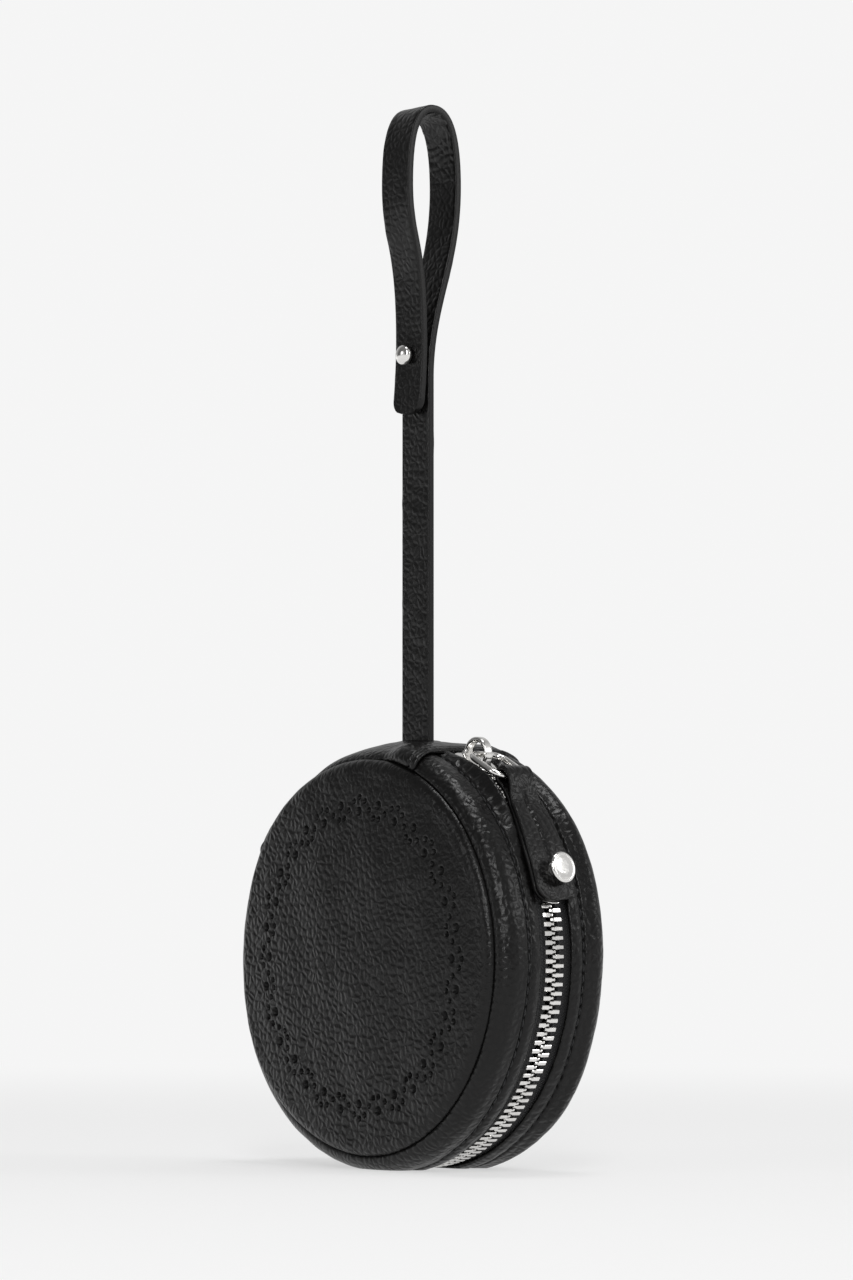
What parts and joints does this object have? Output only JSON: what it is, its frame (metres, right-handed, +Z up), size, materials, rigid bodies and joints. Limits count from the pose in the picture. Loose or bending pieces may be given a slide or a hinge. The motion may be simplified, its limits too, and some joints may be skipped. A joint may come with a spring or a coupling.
{
  "type": "coin purse",
  "caption": "Round leather coin purse that stands on its rim, with a metal zip round the gusset, a leather hinge, a studded zip pull and a buttoned wrist strap.",
  "frame": {"origin": "on the floor under the middle of the purse's body, at the mount stand", "axes": "+Z up along the standing strap, -Y out of the front panel, +X to the right seen from the front"},
  "size_m": [0.1149, 0.0416, 0.2756],
  "materials": {
    "leather": "black, pebbled, satin",
    "board": "fibre board",
    "lining": "plain weave",
    "zip_tape": "twill tape",
    "metal": "polished nickel"
  },
  "bodies": {
    "back_half": {"back_panel": "leather", "back_stiffener": "board", "back_lining": "lining", "back_band": "leather", "back_band_lining": "lining", "back_zip_tape": "zip_tape", "back_zip_teeth": "metal", "back_top_stop": "metal", "zip_bottom_stop": "metal", "hinge_gusset": "leather", "hinge_gusset_lining": "lining", "strap_anchor": "leather"},
    "front_half": {"front_panel": "leather", "front_stiffener": "board", "front_lining": "lining", "front_band": "leather", "front_band_lining": "lining", "front_zip_tape": "zip_tape", "front_zip_teeth": "metal", "front_top_stop": "metal"},
    "slider": {"slider_body": "metal", "slider_crown": "metal"},
    "ring": {"pull_ring": "metal"},
    "pull": {"pull_tab": "leather", "pull_stud": "metal", "pull_stud_screw": "metal"},
    "strap": {"strap_face": "leather", "strap_lining": "leather", "strap_stud": "metal", "strap_stud_screw": "metal"},
    "tail": {"tail_face": "leather", "tail_lining": "leather"}
  },
  "joints": [
    {"name": "zip_slide", "type": "hinge", "parent": "back_half", "child": "slider", "pos_m": [0, 0, 0.0543], "axis": [0, 1, 0], "range_deg": [0, 270]},
    {"name": "front_open", "type": "hinge", "parent": "back_half", "child": "front_half", "pos_m": [-0.01823, 0, 0.10725], "axis": [-0.9455, 0, -0.3256], "range_deg": [0, 50], "deforming": ["hinge_gusset"]},
    {"name": "pull_ring_swing", "type": "hinge", "parent": "slider", "child": "ring", "pos_m": [0.02632, 0, 0.10602], "axis": [0, -1, 0], "range_deg": [0, 100]},
    {"name": "pull_tab_swing", "type": "hinge", "parent": "ring", "child": "pull", "pos_m": [0.03797, 0, 0.09939], "axis": [0, -1, 0], "range_deg": [0, 80]},
    {"name": "strap_fold", "type": "hinge", "parent": "back_half", "child": "strap", "pos_m": [0, 0, 0.112], "axis": [-1, 0, 0], "range_deg": [-30, 80], "stiffness_Nm_per_rad": 0.03},
    {"name": "strap_tail_open", "type": "hinge", "parent": "strap", "child": "tail", "pos_m": [0, 0.00115, 0.27565], "axis": [-1, 0, 0], "range_deg": [0, 110]}
  ],
  "couplings": [
    {"joint": "front_open", "follows": "zip_slide", "ratio": 0.18518}
  ]
}
